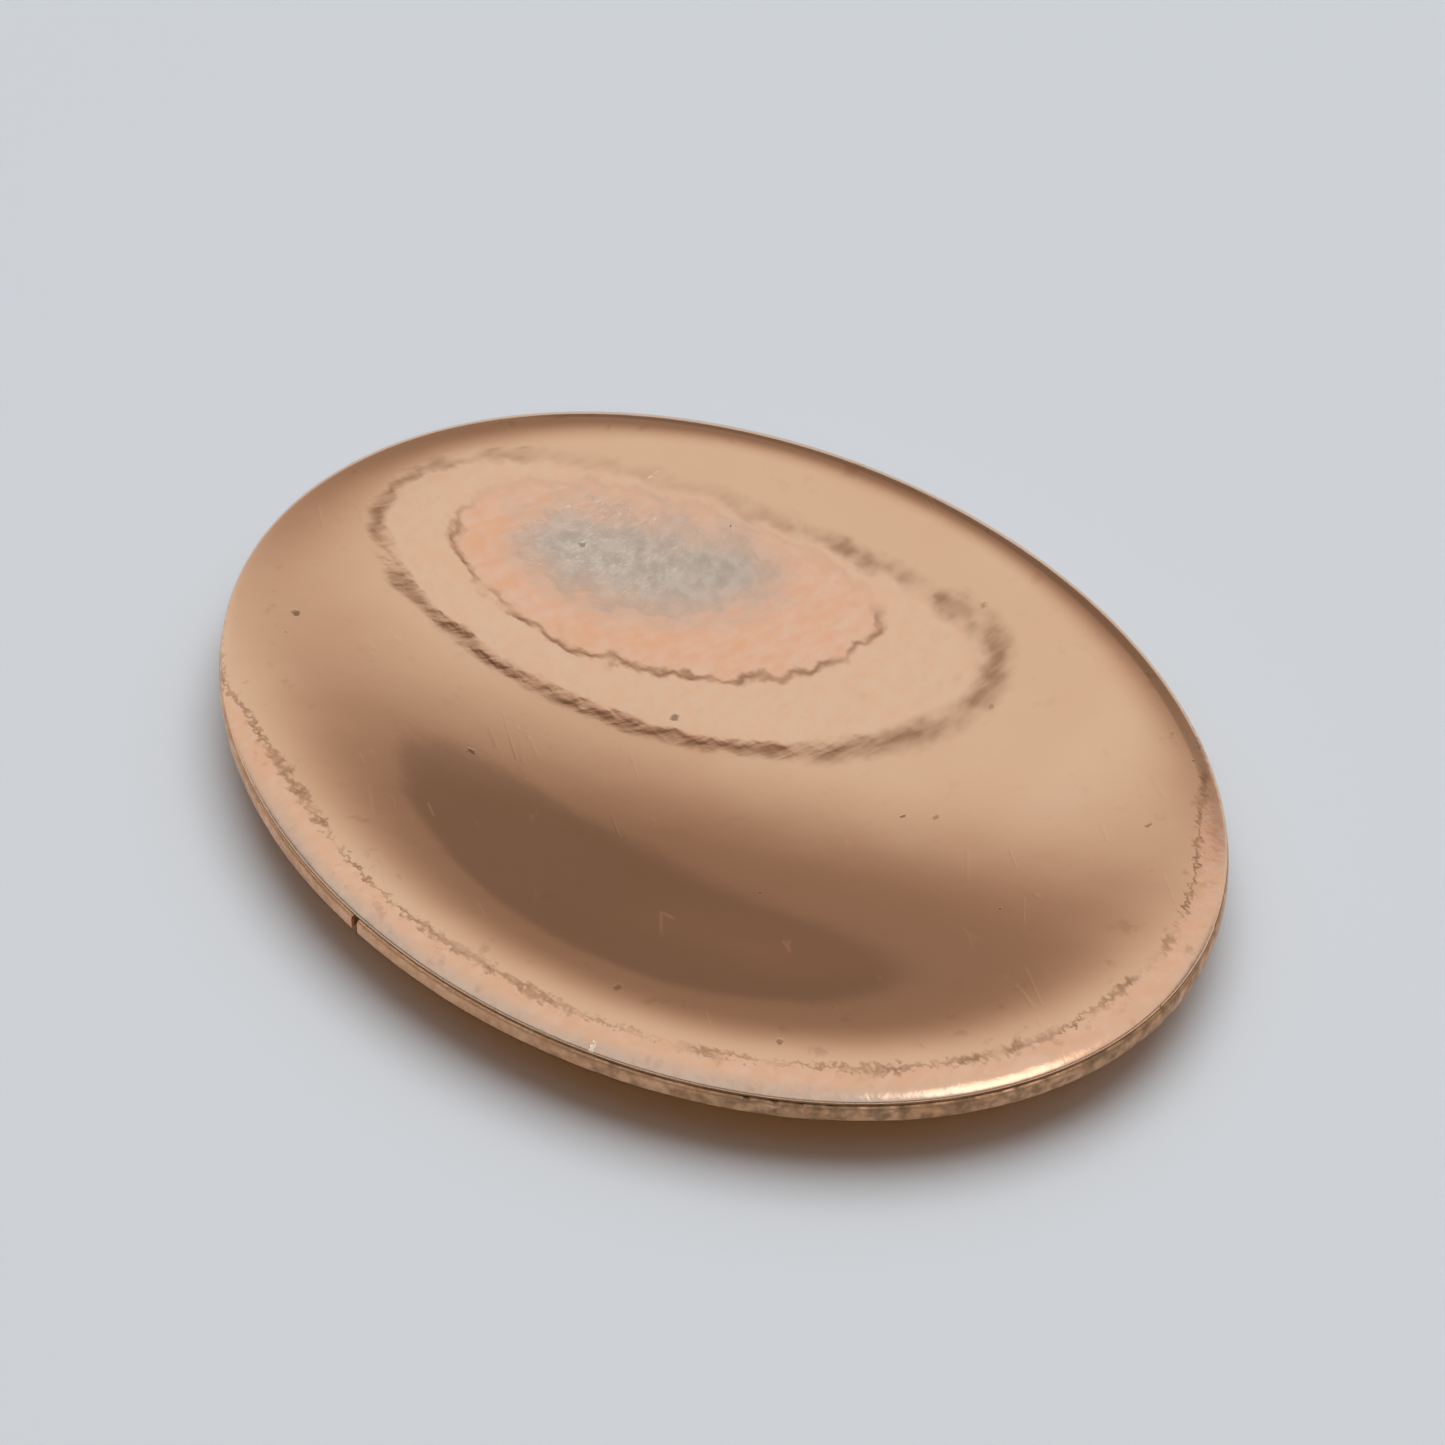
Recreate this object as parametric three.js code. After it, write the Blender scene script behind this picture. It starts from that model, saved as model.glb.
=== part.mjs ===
// A small oval copper tray, raised from one sheet and stiffened by a flat wire under its rim.
//
// The sheet is a shallow bowl whose wall rolls over into a convex lip. A flat copper wire is bent round
// under the lip, soldered to it all the way, and closed by a soldered butt joint. The tray stands on a
// small flat seat under its belly.
//
// Frame: millimetres, +X along the length, +Y across, +Z up. The origin is below the middle of the oval, on
// the surface that the tray stands on.
import * as THREE from "three";

// Driving dimensions.
const LENGTH = 80; // over the sheet's edge, along X
const WIDTH = 60; // over the sheet's edge, along Y
const SHEET = 0.5; // thickness of the raised sheet
const BOWL_RISE = 26; // how fast the bowl curves up round its lowest point
const CREST = 0.9; // share of the radius where the lip is highest, before it falls to the edge
const ROLL = 6; // how late the wall rolls over into the lip: a higher power rolls it over nearer the crest
const BELLY_X = 1; // the lowest point lies this far off the oval's middle, as in hand raising
const BELLY_Y = 3;
const SEAT = 0.16; // share of the radius that the flat seat covers
const SOLDER = 0.15; // thickness of the solder between the sheet and the wire
const WIRE_HEIGHT = 1.3;
const WIRE_WIDTH = 1.9; // the wire's width, at the tray's mean radius
const WIRE_PROUD = 0.1; // how far the wire stands out past the sheet's edge
const SOLDER_INSET = 0.2; // how far the solder line lies back from the edge
const JOINT_AT = -101.5; // degrees round the rim from +X to the wire's butt joint
const JOINT_GAP = 0.9; // degrees between the wire's two ends
const JOINT_INSET = 0.25; // how far the butt joint's solder lies back from the wire's faces

// Fineness of the faceted solids.
const COLUMNS = 72; // steps round the rim, from one side of the joint to the other
const BOWL_RINGS = 14;

const MEAN_RADIUS = (LENGTH + WIDTH) / 4;
const share = (distance) => distance / MEAN_RADIUS;
const WIRE_INNER = 1 - share(WIRE_WIDTH - WIRE_PROUD);
const WIRE_OUTER = 1 + share(WIRE_PROUD);
const SOLDER_OUTER = 1 - share(SOLDER_INSET);

// How high the sheet's upper face rises above its lowest point, at a share rho of the radius.
const rise = (rho) => BOWL_RISE * (rho ** 2 / 2 - rho ** (ROLL + 1) / ((ROLL + 1) * CREST ** (ROLL - 1)));

// Heights of each piece's faces above the surface that the tray stands on.
const sheetTop = (rho) => SHEET - rise(SEAT) + rise(rho);
const sheetUnder = (rho) => (rho <= SEAT ? 0 : sheetTop(rho) - SHEET);
const wireTop = (rho) => sheetUnder(rho) - SOLDER;
const wireUnder = (rho) => wireTop(rho) - WIRE_HEIGHT;
const jointTop = (rho) => wireTop(rho) - JOINT_INSET;
const jointUnder = (rho) => wireUnder(rho) + JOINT_INSET;

// Angles of the columns round the rim, in radians. The last step, back to the first, spans the butt joint.
const columns = Array.from({ length: COLUMNS + 1 }, (_, i) => {
  const turn = (360 - JOINT_GAP) / COLUMNS;
  return THREE.MathUtils.degToRad(JOINT_AT + JOINT_GAP / 2 + i * turn);
});

const spaced = (from, to, count) =>
  Array.from({ length: count + 1 }, (_, i) => from + ((to - from) * i) / count);

// The rings are ovals that drift from the lowest point, at rho = 0, to the middle of the edge, at rho = 1.
const ovalPoint = (rho, angle, height) => [
  BELLY_X * (1 - rho ** 2) + (LENGTH / 2) * rho * Math.cos(angle),
  BELLY_Y * (1 - rho ** 2) + (WIDTH / 2) * rho * Math.sin(angle),
  height,
];

// Closes a solid from a band of rings: the section between top and under is swept through the given angles.
// A loop joins the last column to the first, and an open run gets an end face at each end.
function sweptBand({ rings, top, under, angles, loop }) {
  const outline = [
    ...rings.map((rho) => [rho, top(rho)]),
    ...rings.toReversed().map((rho) => [rho, under(rho)]),
  ];
  const corners = outline.length;
  const positions = angles.flatMap((angle) =>
    outline.flatMap(([rho, height]) => ovalPoint(rho, angle, height)),
  );
  const indices = [];
  const steps = loop ? angles.length : angles.length - 1;
  for (let column = 0; column < steps; column++) {
    const here = column * corners;
    const next = ((column + 1) % angles.length) * corners;
    for (let corner = 0; corner < corners; corner++) {
      const after = (corner + 1) % corners;
      indices.push(here + corner, here + after, next + after);
      indices.push(here + corner, next + after, next + corner);
    }
  }
  if (!loop) {
    const last = (angles.length - 1) * corners;
    for (let ring = 0; ring < rings.length - 1; ring++) {
      const far = corners - 1 - ring;
      indices.push(ring, far, far - 1, ring, far - 1, ring + 1);
      indices.push(last + ring, last + far - 1, last + far, last + ring, last + ring + 1, last + far - 1);
    }
  }
  return solidGeometry(positions, indices);
}

// Closes a solid from rings round a middle point, as the sheet is.
function domedDisc({ rings, top, under, angles }) {
  const ringStart = (side, ring) => 2 + (side * rings.length + ring) * angles.length;
  const positions = [...ovalPoint(0, 0, top(0)), ...ovalPoint(0, 0, under(0))];
  for (const face of [top, under])
    for (const rho of rings)
      for (const angle of angles) positions.push(...ovalPoint(rho, angle, face(rho)));
  const indices = [];
  const quad = (a, b, c, d) => indices.push(a, b, c, a, c, d);
  for (let column = 0; column < angles.length; column++) {
    const next = (column + 1) % angles.length;
    indices.push(0, ringStart(0, 0) + column, ringStart(0, 0) + next);
    indices.push(1, ringStart(1, 0) + next, ringStart(1, 0) + column);
    for (let ring = 0; ring < rings.length - 1; ring++) {
      const [inTop, outTop] = [ringStart(0, ring), ringStart(0, ring + 1)];
      const [inUnder, outUnder] = [ringStart(1, ring), ringStart(1, ring + 1)];
      quad(inTop + column, outTop + column, outTop + next, inTop + next);
      indices.push(inUnder + column, outUnder + next, outUnder + column);
      indices.push(inUnder + column, inUnder + next, outUnder + next);
    }
    const [edgeTop, edgeUnder] = [ringStart(0, rings.length - 1), ringStart(1, rings.length - 1)];
    quad(edgeTop + column, edgeUnder + column, edgeUnder + next, edgeTop + next);
  }
  return solidGeometry(positions, indices);
}

function solidGeometry(positions, indices) {
  const geometry = new THREE.BufferGeometry();
  geometry.setAttribute("position", new THREE.Float32BufferAttribute(positions, 3));
  geometry.setIndex(indices);
  geometry.computeVertexNormals();
  return geometry;
}

// Finishes.
const finishes = {
  polishedCopper: new THREE.MeshStandardMaterial({ color: 0xc79a78, roughness: 0.18, metalness: 1 }),
  wireCopper: new THREE.MeshStandardMaterial({ color: 0x9a7252, roughness: 0.4, metalness: 1 }),
  tarnishedSolder: new THREE.MeshStandardMaterial({ color: 0x5e3f24, roughness: 0.6, metalness: 0.6 }),
};

function piece(name, geometry, material) {
  const mesh = new THREE.Mesh(geometry, material);
  mesh.name = name;
  return mesh;
}

function dishSheet() {
  const rings = [...spaced(SEAT, WIRE_INNER, BOWL_RINGS), SOLDER_OUTER, 1];
  const geometry = domedDisc({ rings, top: sheetTop, under: sheetUnder, angles: columns });
  return piece("dish_sheet", geometry, finishes.polishedCopper);
}

function rimSolder() {
  const rings = [WIRE_INNER, SOLDER_OUTER];
  const geometry = sweptBand({ rings, top: sheetUnder, under: wireTop, angles: columns, loop: true });
  return piece("rim_solder", geometry, finishes.tarnishedSolder);
}

function rimWire() {
  const rings = [WIRE_INNER, SOLDER_OUTER, WIRE_OUTER];
  const geometry = sweptBand({ rings, top: wireTop, under: wireUnder, angles: columns, loop: false });
  return piece("rim_wire", geometry, finishes.wireCopper);
}

function wireJointSolder() {
  const rings = [WIRE_INNER + share(JOINT_INSET), WIRE_OUTER - share(JOINT_INSET)];
  const angles = [columns.at(-1) - 2 * Math.PI, columns[0]];
  const geometry = sweptBand({ rings, top: jointTop, under: jointUnder, angles, loop: false });
  return piece("wire_joint_solder", geometry, finishes.tarnishedSolder);
}

const tray = new THREE.Group();
tray.add(dishSheet(), rimSolder(), rimWire(), wireJointSolder());

export default tray;
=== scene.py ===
"""A small oval copper tray, raised from one sheet, with a flat wire soldered under its rolled-over lip.

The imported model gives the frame. Each of its four nodes is replaced by a finer piece of the same shape:
the sheet with its planished and worn upper face and its hammered underside, the rim wire, and the solder
of the rim and of the wire's joint. Lengths are in metres, +X along the tray, +Y across it and +Z up.
"""

import logging
import math
import random
from dataclasses import dataclass, field
from enum import Enum

import bpy
import numpy as np
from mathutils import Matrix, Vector, noise


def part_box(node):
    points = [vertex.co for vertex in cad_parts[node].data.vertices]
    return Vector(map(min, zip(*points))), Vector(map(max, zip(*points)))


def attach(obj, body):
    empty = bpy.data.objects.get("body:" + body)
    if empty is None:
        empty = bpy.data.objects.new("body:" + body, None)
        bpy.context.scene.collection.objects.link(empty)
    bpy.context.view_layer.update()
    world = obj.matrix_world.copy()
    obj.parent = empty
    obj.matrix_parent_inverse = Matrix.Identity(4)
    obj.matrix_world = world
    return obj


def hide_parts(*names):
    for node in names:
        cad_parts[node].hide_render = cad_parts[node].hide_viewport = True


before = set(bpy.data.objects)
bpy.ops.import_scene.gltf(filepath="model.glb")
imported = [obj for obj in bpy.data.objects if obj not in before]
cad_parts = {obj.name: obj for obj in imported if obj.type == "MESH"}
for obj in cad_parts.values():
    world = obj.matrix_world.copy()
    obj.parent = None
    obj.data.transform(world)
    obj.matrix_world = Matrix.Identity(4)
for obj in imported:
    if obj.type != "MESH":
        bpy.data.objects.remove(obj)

LOG = logging.getLogger("oval_tray")
MM = 0.001
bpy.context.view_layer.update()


class Slot(str, Enum):
    """Material slots of the record."""

    SHEET = "polished_copper"
    WIRE = "wire_copper"
    SOLDER = "tarnished_solder"


class Field(str, Enum):
    """Attributes that the sheet's finish reads: millimetres inside each edge of wear."""

    OUTER = "patch_outer_mm"
    INNER = "patch_inner_mm"
    CORE = "patch_core_mm"
    RIM = "rim_wear_mm"


# ---------------------------------------------------------------------------------------------------------
# Form
# ---------------------------------------------------------------------------------------------------------


@dataclass(frozen=True)
class TrayForm:
    """The raised surface, in shares of the oval's radius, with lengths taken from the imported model.

    A point's share is 0 at the belly's lowest point and 1 at the sheet's edge. The ovals of equal share
    drift from the lowest point to the middle of the edge.
    """

    half_length: float
    half_width: float
    sheet: float = 0.5 * MM
    solder: float = 0.15 * MM
    wire_height: float = 1.3 * MM
    bowl_rise: float = 26 * MM
    crest: float = 0.9
    roll: int = 6
    belly_x: float = 1 * MM
    belly_y: float = 3 * MM
    seat: float = 0.16
    wire_inner: float = 1 - 1.8 / 35
    wire_outer: float = 1 + 0.1 / 35
    solder_outer: float = 1 - 0.3 / 35
    joint_at: float = math.radians(-101.5)
    joint_gap: float = math.radians(0.9)

    @property
    def mean_radius(self) -> float:
        """Returns the radius of the circle that the wire is bent from."""
        return (self.half_length + self.half_width) / 2

    def rise(self, rho: np.ndarray) -> np.ndarray:
        """How high the upper face stands above its lowest point.

        Args:
            rho: shares of the radius.

        Returns:
            The heights.
        """
        rolled = rho ** (self.roll + 1) / ((self.roll + 1) * self.crest ** (self.roll - 1))
        return self.bowl_rise * (rho**2 / 2 - rolled)

    def top(self, rho: np.ndarray) -> np.ndarray:
        """Returns the height of the sheet's upper face above the table."""
        return self.sheet - self.rise(np.float64(self.seat)) + self.rise(rho)

    def under(self, rho: np.ndarray) -> np.ndarray:
        """Returns the height of the sheet's underside, which is flat within the seat."""
        return np.where(rho <= self.seat, 0.0, self.top(rho) - self.sheet)

    def place(self, unit_x: np.ndarray, unit_y: np.ndarray) -> tuple[np.ndarray, np.ndarray, np.ndarray]:
        """Carries points of a flat unit disc onto the oval.

        Args:
            unit_x: the points' x in the disc.
            unit_y: the points' y in the disc.

        Returns:
            The share of each point, and its x and y on the tray.
        """
        rho = np.hypot(unit_x, unit_y)
        drift = 1 - rho**2
        return (
            rho,
            self.belly_x * drift + self.half_length * unit_x,
            self.belly_y * drift + self.half_width * unit_y,
        )


@dataclass(frozen=True)
class Patch:
    """An egg-shaped patch of wear, in shares of the tray's mean radius, narrower towards one end."""

    x: float
    y: float
    half_length: float
    half_width: float
    turn: float
    taper: float = 0.2

    def depth(self, x: np.ndarray, y: np.ndarray, radius: float) -> np.ndarray:
        """How far inside the patch points lie.

        Args:
            x: the points' x in millimetres.
            y: the points' y in millimetres.
            radius: the tray's mean radius in millimetres.

        Returns:
            About the distance to the patch's edge in millimetres, negative outside it.
        """
        from_x, from_y = x / radius - self.x, y / radius - self.y
        along = (from_x * math.cos(self.turn) + from_y * math.sin(self.turn)) / self.half_length
        width = self.half_width * (1 - self.taper * np.clip(along, -1, 1))
        across = (from_y * math.cos(self.turn) - from_x * math.sin(self.turn)) / width
        share = np.hypot(along, across)
        slope = np.hypot(along / self.half_length, across / width)
        tiny = 1e-6
        return (1 - share) * (share + tiny) / (slope + tiny) * radius


def smooth_noise(x: np.ndarray, y: np.ndarray, wavelength: float, seed: float) -> np.ndarray:
    """Soft noise over the tray.

    Args:
        x: the points' x in millimetres.
        y: the points' y in millimetres.
        wavelength: the size of its swells in millimetres.
        seed: the layer of the noise that is taken.

    Returns:
        Values between about -1 and 1.
    """
    scaled = zip(x / wavelength, y / wavelength)
    return np.array([noise.noise(Vector((float(u), float(v), seed))) for u, v in scaled])


@dataclass(frozen=True)
class WearMap:
    """Where the bronze-toned finish is rubbed through: a patch at one side and a band along the rim."""

    outer: Patch = Patch(-0.35, 0.3, 0.68, 0.28, math.radians(22))
    inner: Patch = Patch(-0.43, 0.33, 0.46, 0.19, math.radians(26))
    core: Patch = Patch(-0.5, 0.35, 0.27, 0.1, math.radians(32))
    rim_share: float = 0.937
    rim_from: float = math.radians(-122)
    rim_to: float = math.radians(30)
    rim_fade: float = math.radians(28)
    rim_drop: float = 0.08

    def rim_depth(self, rho: np.ndarray, angle: np.ndarray, radius: float) -> np.ndarray:
        """How far past the rim's line of wear points lie.

        Args:
            rho: the points' shares of the radius.
            angle: the points' angles round the rim.
            radius: the tray's mean radius in millimetres.

        Returns:
            The distance in millimetres, negative inside the line.
        """
        middle = (self.rim_from + self.rim_to) / 2
        turn = np.abs((angle - middle + math.pi) % (2 * math.pi) - math.pi)
        past = np.clip((turn - (self.rim_to - self.rim_from) / 2) / self.rim_fade, 0, 1)
        return (rho - self.rim_share - self.rim_drop * past * past * (3 - 2 * past)) * radius


# ---------------------------------------------------------------------------------------------------------
# Making meshes
# ---------------------------------------------------------------------------------------------------------


def deselect_all() -> None:
    """Leaves nothing selected, so that a new primitive is the only thing that operators act on."""
    bpy.ops.object.select_all(action="DESELECT")


def edit(obj: bpy.types.Object) -> None:
    """Opens the object in edit mode with all of it selected."""
    bpy.context.view_layer.objects.active = obj
    bpy.ops.object.mode_set(mode="EDIT")
    bpy.ops.mesh.select_all(action="SELECT")


def done() -> None:
    """Leaves edit mode."""
    bpy.ops.object.mode_set(mode="OBJECT")


def settle(obj: bpy.types.Object) -> None:
    """Moves the object's place, turn and scale into its mesh."""
    deselect_all()
    obj.select_set(True)
    bpy.context.view_layer.objects.active = obj
    bpy.ops.object.transform_apply(location=True, rotation=True, scale=True)


def coordinates(obj: bpy.types.Object) -> np.ndarray:
    """Returns the mesh's points as an array with one row each."""
    flat = np.empty(len(obj.data.vertices) * 3)
    obj.data.vertices.foreach_get("co", flat)
    return flat.reshape(-1, 3)


def set_coordinates(obj: bpy.types.Object, points: np.ndarray) -> None:
    """Moves the mesh's points to the rows of an array."""
    obj.data.vertices.foreach_set("co", points.ravel())
    obj.data.update()


def select_where(obj: bpy.types.Object, mode: str, chosen: np.ndarray) -> None:
    """Selects parts of the mesh by number, in object mode, for the next edit.

    Args:
        obj: the object.
        mode: VERT, EDGE or FACE.
        chosen: one truth value for each part of that kind.
    """
    edit(obj)
    bpy.ops.mesh.select_mode(type=mode)
    bpy.ops.mesh.select_all(action="DESELECT")
    done()
    parts = {"VERT": obj.data.vertices, "EDGE": obj.data.edges, "FACE": obj.data.polygons}[mode]
    parts.foreach_set("select", np.asarray(chosen, dtype=bool))


def finish_piece(obj: bpy.types.Object, node: str, crease: float = 40.0) -> None:
    """Smooths a finished piece, and lets it stand for its node.

    Args:
        obj: the piece.
        node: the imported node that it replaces.
        crease: edges sharper than this angle, in degrees, stay sharp.
    """
    deselect_all()
    obj.select_set(True)
    bpy.context.view_layer.objects.active = obj
    bpy.ops.object.shade_smooth_by_angle(angle=math.radians(crease))
    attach(obj, "root")
    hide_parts(node)
    LOG.info("%s: %d faces", obj.name, len(obj.data.polygons))


# ---------------------------------------------------------------------------------------------------------
# Finishes
# ---------------------------------------------------------------------------------------------------------


class Shader:
    """Builds one node tree, a material's or a group's, by adding nodes and joining their sockets."""

    def __init__(self, tree: bpy.types.NodeTree) -> None:
        """Starts on an emptied tree."""
        self.tree = tree
        tree.nodes.clear()

    def add(self, kind: str, inputs: dict | None = None, **settings) -> bpy.types.Node:
        """Adds a node.

        Args:
            kind: the node's type.
            inputs: values or output sockets for its inputs, by name or number.
            settings: the node's own properties.

        Returns:
            The node.
        """
        node = self.tree.nodes.new(kind)
        for name, value in settings.items():
            setattr(node, name, value)
        for key, value in (inputs or {}).items():
            if isinstance(value, bpy.types.NodeSocket):
                self.tree.links.new(value, node.inputs[key])
            else:
                node.inputs[key].default_value = value
        return node

    def math(self, operation: str, a, b=0.0, c=0.0) -> bpy.types.NodeSocket:
        """Returns the result of a Math node on two or three values or sockets."""
        return self.add("ShaderNodeMath", {0: a, 1: b, 2: c}, operation=operation).outputs[0]

    def ramp(self, value, low, high, to_low=0.0, to_high=1.0) -> bpy.types.NodeSocket:
        """Returns a smooth step of a value from one range to another."""
        inputs = {"Value": value, "From Min": low, "From Max": high, "To Min": to_low, "To Max": to_high}
        return self.add("ShaderNodeMapRange", inputs, interpolation_type="SMOOTHSTEP").outputs["Result"]

    def mix(self, factor, a, b) -> bpy.types.NodeSocket:
        """Returns a mix of two colours."""
        node = self.add("ShaderNodeMix", {0: factor, 6: a, 7: b}, data_type="RGBA")
        return node.outputs[2]

    def noise(self, vector, scale: float, detail: float = 2.0, **inputs) -> bpy.types.NodeSocket:
        """Returns a noise value between 0 and 1, at a scale in swells per metre."""
        values = {"Vector": vector, "Scale": scale, "Detail": detail, **inputs}
        return self.add("ShaderNodeTexNoise", values).outputs["Fac"]

    def place(self) -> bpy.types.NodeSocket:
        """Returns the point on the object, in its own coordinates."""
        return self.add("ShaderNodeTexCoord").outputs["Object"]

    def attribute(self, name: Field) -> bpy.types.NodeSocket:
        """Returns one of the sheet's fields of wear."""
        return self.add("ShaderNodeAttribute", attribute_name=name.value).outputs["Fac"]


class NodeGroup:
    """A shader node group with named sockets, built once and used by several materials."""

    def __init__(self, name: str, inputs: dict[str, tuple[str, object]], outputs: dict[str, str]) -> None:
        """Makes the group's interface.

        Args:
            name: the group's name.
            inputs: each input's socket kind (Float, Vector or Color) and default.
            outputs: each output's socket kind.
        """
        self.tree = bpy.data.node_groups.new(name, "ShaderNodeTree")
        for label, (kind, default) in inputs.items():
            socket = self.tree.interface.new_socket(label, in_out="INPUT", socket_type=f"NodeSocket{kind}")
            if default is not None:
                socket.default_value = default
        for label, kind in outputs.items():
            self.tree.interface.new_socket(label, in_out="OUTPUT", socket_type=f"NodeSocket{kind}")
        self.shader = Shader(self.tree)
        self.inputs = self.shader.add("NodeGroupInput").outputs
        self.end = self.shader.add("NodeGroupOutput")

    def output(self, name: str, socket: bpy.types.NodeSocket) -> None:
        """Joins a socket to one of the group's outputs."""
        self.tree.links.new(socket, self.end.inputs[name])

    def place_in(self, shader: Shader, inputs: dict) -> bpy.types.NodeOutputs:
        """Adds the group to a material and returns its outputs."""
        node = shader.add("ShaderNodeGroup", node_tree=self.tree)
        for name, value in inputs.items():
            if isinstance(value, bpy.types.NodeSocket):
                shader.tree.links.new(value, node.inputs[name])
            else:
                node.inputs[name].default_value = value
        return node.outputs


def worn_edge_group() -> NodeGroup:
    """Makes the group that turns a distance from an edge of wear into a ragged area, its line and its relief; the line
    is where the finish paints the shade of the edge's small step.
    """
    group = NodeGroup(
        "worn_edge",
        {
            "Point": ("Vector", None),
            "Distance": ("Float", 0.0),
            "Raggedness": ("Float", 0.4),
            "Softness": ("Float", 0.4),
            "Line Width": ("Float", 0.4),
            "Step": ("Float", 0.05),
            "Grain": ("Float", 900.0),
        },
        {"Area": "Float", "Line": "Float", "Height": "Float"},
    )
    s, ins = group.shader, group.inputs
    brushed = s.add(
        "ShaderNodeMapping",
        {"Vector": ins["Point"], "Rotation": (0, 0, math.radians(-66)), "Scale": (0.28, 1, 1)},
    ).outputs[0]
    strokes = s.add("ShaderNodeTexNoise", {"Vector": brushed, "Scale": ins["Grain"], "Detail": 2.0})
    fine = s.add("ShaderNodeTexNoise", {"Vector": ins["Point"], "Scale": ins["Grain"], "Detail": 2.0})
    both = s.math("ADD", strokes.outputs["Fac"], fine.outputs["Fac"])
    shift = s.math("MULTIPLY", s.math("SUBTRACT", both, 1.0), ins["Raggedness"])
    distance = s.math("MULTIPLY_ADD", shift, 1.6, ins["Distance"])
    outside = s.math("MULTIPLY", ins["Softness"], -1.0)
    group.output("Area", s.ramp(distance, outside, ins["Softness"]))
    # Line: the band where the finish paints the step's shade as a dark colour.
    away = s.math("DIVIDE", s.math("ABSOLUTE", distance), ins["Line Width"])
    fading = s.ramp(s.noise(ins["Point"], 260.0, 2.0), 0.32, 0.55, 0.15, 1.0)
    group.output("Line", s.math("MULTIPLY", s.ramp(away, 1.0, 0.0), fading))
    before = s.math("MULTIPLY", ins["Line Width"], -1.0)
    group.output("Height", s.math("MULTIPLY", s.ramp(distance, before, ins["Line Width"]), s.math("MULTIPLY", ins["Step"], -1.0)))
    return group


def stroke_group() -> NodeGroup:
    """Makes the group for short brushed strokes, all in one direction."""
    group = NodeGroup(
        "strokes",
        {"Point": ("Vector", None), "Angle": ("Float", 0.0), "Scale": ("Float", 1200.0)},
        {"Strokes": "Float"},
    )
    s, ins = group.shader, group.inputs
    turn = s.add("ShaderNodeCombineXYZ", {"Z": s.math("MULTIPLY", ins["Angle"], -1.0)})
    turned = s.add("ShaderNodeMapping", {"Vector": ins["Point"], "Rotation": turn.outputs[0]})
    squeezed = s.add("ShaderNodeVectorMath", {0: turned.outputs[0], 1: (0.22, 1, 1)}, operation="MULTIPLY")
    strokes = s.add("ShaderNodeTexNoise", {"Vector": squeezed.outputs[0], "Scale": ins["Scale"], "Detail": 2.0})
    group.output("Strokes", s.ramp(strokes.outputs["Fac"], 0.3, 0.7))
    return group


def pitting_group() -> NodeGroup:
    """Makes the group for scattered dark pits and specks."""
    group = NodeGroup(
        "pitting",
        {"Point": ("Vector", None), "Scale": ("Float", 300.0), "Size": ("Float", 0.1), "Share": ("Float", 0.1)},
        {"Mask": "Float"},
    )
    s, ins = group.shader, group.inputs
    bent = s.add("ShaderNodeTexNoise", {"Vector": ins["Point"], "Scale": 1500.0, "Detail": 2.0})
    offset = s.add("ShaderNodeVectorMath", {0: bent.outputs["Color"], 1: (0.5, 0.5, 0.5)}, operation="SUBTRACT")
    small = s.add("ShaderNodeVectorMath", {0: offset.outputs[0], "Scale": 0.0004}, operation="SCALE")
    point = s.add("ShaderNodeVectorMath", {0: ins["Point"], 1: small.outputs[0]}, operation="ADD")
    cells = s.add("ShaderNodeTexVoronoi", {"Vector": point.outputs[0], "Scale": ins["Scale"]})
    dot = s.ramp(s.math("DIVIDE", cells.outputs["Distance"], ins["Size"]), 1.0, 0.5)
    chance = s.add("ShaderNodeSeparateColor", {0: cells.outputs["Color"]}).outputs["Red"]
    chosen = s.math("LESS_THAN", chance, ins["Share"])
    group.output("Mask", s.math("MULTIPLY", dot, chosen))
    return group


def scratches_group() -> NodeGroup:
    """Makes the group for fine polishing scratches, thin and nearly straight."""
    group = NodeGroup(
        "scratches",
        {"Point": ("Vector", None), "Angle": ("Float", 0.0), "Scale": ("Float", 400.0), "Share": ("Float", 0.5)},
        {"Mask": "Float"},
    )
    s, ins = group.shader, group.inputs
    turn = s.add("ShaderNodeCombineXYZ", {"Z": ins["Angle"]})
    turned = s.add("ShaderNodeMapping", {"Vector": ins["Point"], "Rotation": turn.outputs[0]})
    squeezed = s.add("ShaderNodeVectorMath", {0: turned.outputs[0], 1: (0.05, 1, 1)}, operation="MULTIPLY")
    lines = s.add("ShaderNodeTexVoronoi", {"Vector": squeezed.outputs[0], "Scale": ins["Scale"]})
    lines.feature = "DISTANCE_TO_EDGE"
    thin = s.ramp(lines.outputs["Distance"], 0.035, 0.0)
    broken = s.noise(ins["Point"], 220.0, 3.0)
    group.output("Mask", s.math("MULTIPLY", thin, s.math("LESS_THAN", broken, ins["Share"])))
    return group


def cloud_group() -> NodeGroup:
    """Makes the group for soft cloudy variation, at two sizes."""
    group = NodeGroup(
        "clouds",
        {"Point": ("Vector", None), "Coarse": ("Float", 60.0), "Fine": ("Float", 400.0)},
        {"Coarse": "Float", "Fine": "Float"},
    )
    s, ins = group.shader, group.inputs
    for name in ("Coarse", "Fine"):
        cloud = s.add("ShaderNodeTexNoise", {"Vector": ins["Point"], "Scale": ins[name], "Detail": 3.0})
        group.output(name, s.ramp(cloud.outputs["Fac"], 0.3, 0.7))
    return group


@dataclass
class EffectGroups:
    """The node groups that the finishes share."""

    worn_edge: NodeGroup = field(default_factory=worn_edge_group)
    strokes: NodeGroup = field(default_factory=stroke_group)
    pitting: NodeGroup = field(default_factory=pitting_group)
    scratches: NodeGroup = field(default_factory=scratches_group)
    clouds: NodeGroup = field(default_factory=cloud_group)


Colour = tuple[float, float, float, float]


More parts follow.
